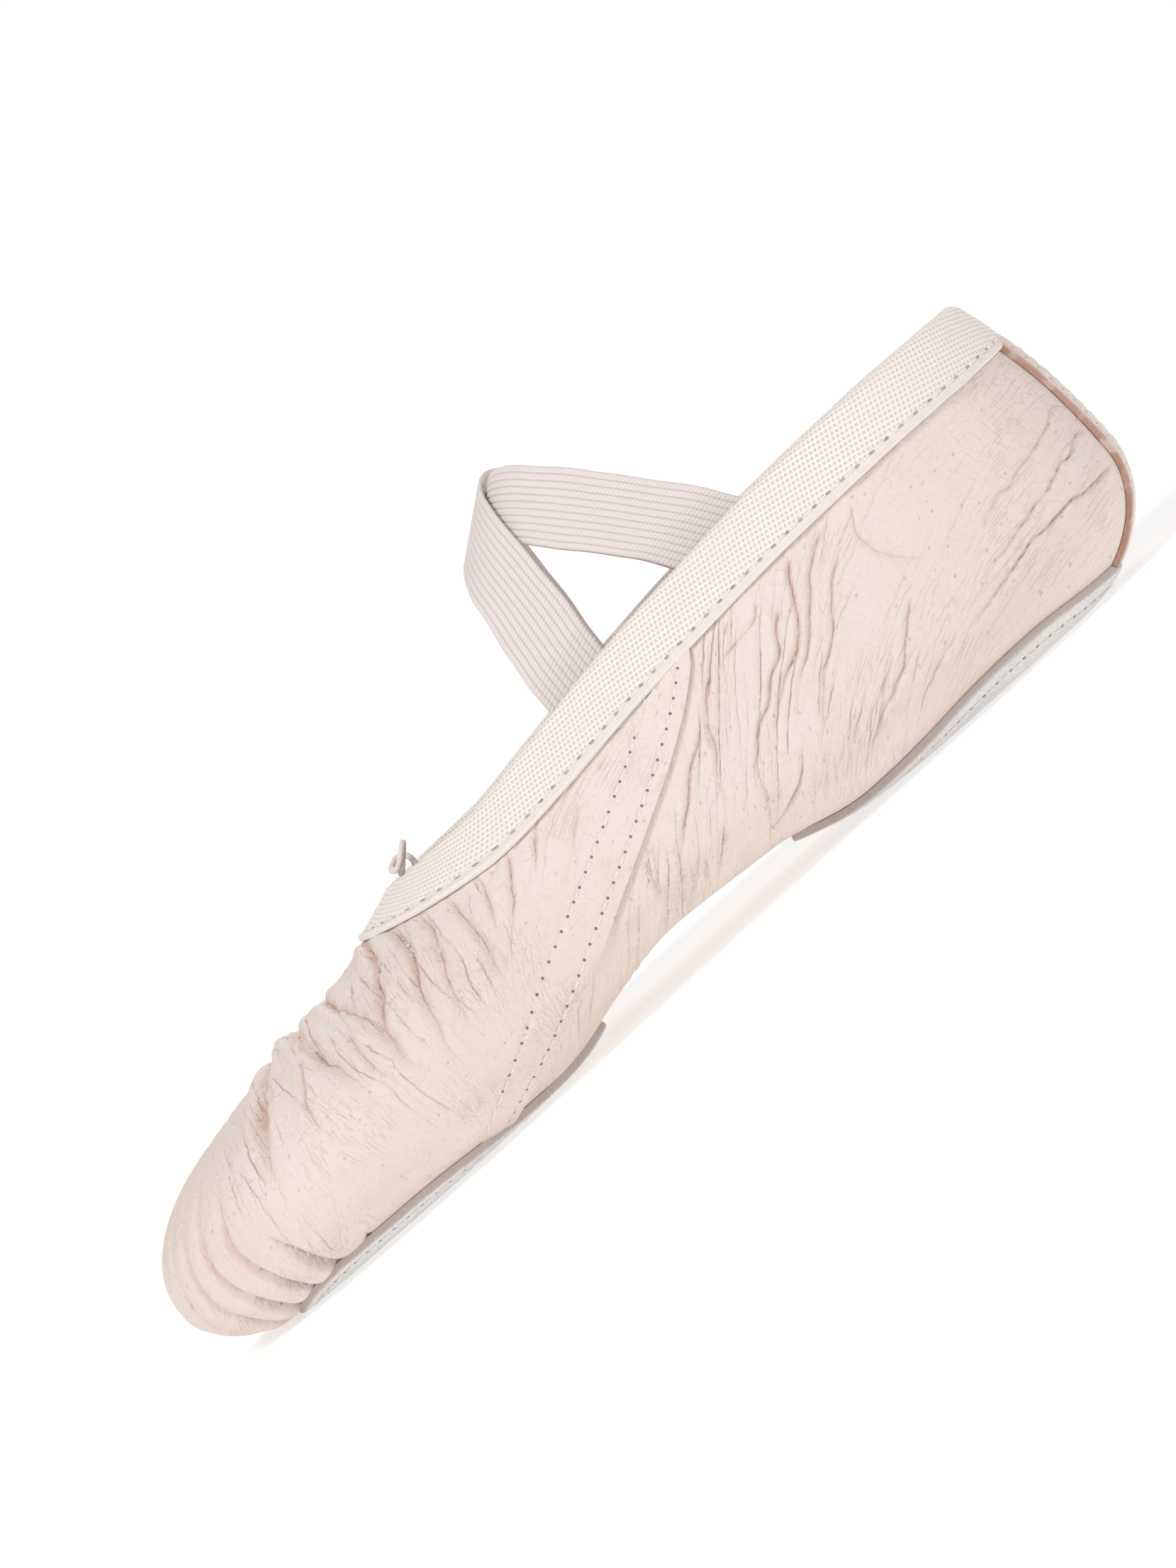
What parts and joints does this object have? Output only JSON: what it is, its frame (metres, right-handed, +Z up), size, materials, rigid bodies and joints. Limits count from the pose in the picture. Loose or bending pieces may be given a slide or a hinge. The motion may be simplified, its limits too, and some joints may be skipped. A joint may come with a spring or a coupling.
{
  "type": "split-sole leather ballet slipper",
  "caption": "Soft leather split-sole ballet slipper for the left foot, with a tape-bound collar, drawstring, suede sole patches and crossed elastic straps.",
  "frame": {"origin": "middle of the slipper's box in plan, on the floor under the sole patches", "axes": "+Z up, -Y towards the toe, +Y towards the heel, +X towards the outer side of the left foot"},
  "size_m": [0.0839, 0.2293, 0.0901],
  "materials": {
    "leather": "soft pink glove leather, fine pores, low sheen",
    "heel_strip": "the same leather as a sewn strip with raw brown edges",
    "suede": "pale grey suede with a short matt nap",
    "insole": "brushed cotton over thin padding, matt",
    "binding": "woven cotton tape, matt",
    "elastic": "ribbed pale pink elastic, matt",
    "drawstring": "thin round braided elastic cord, matt"
  },
  "bodies": {
    "root": {"upper": "leather", "heel_strip": "heel_strip", "sole_forefoot": "suede", "sole_heel": "suede", "insole_forefoot": "insole", "insole_heel": "insole", "binding": "binding", "strap_under": "elastic", "strap_over": "elastic", "drawstring": "drawstring"}
  },
  "joints": []
}
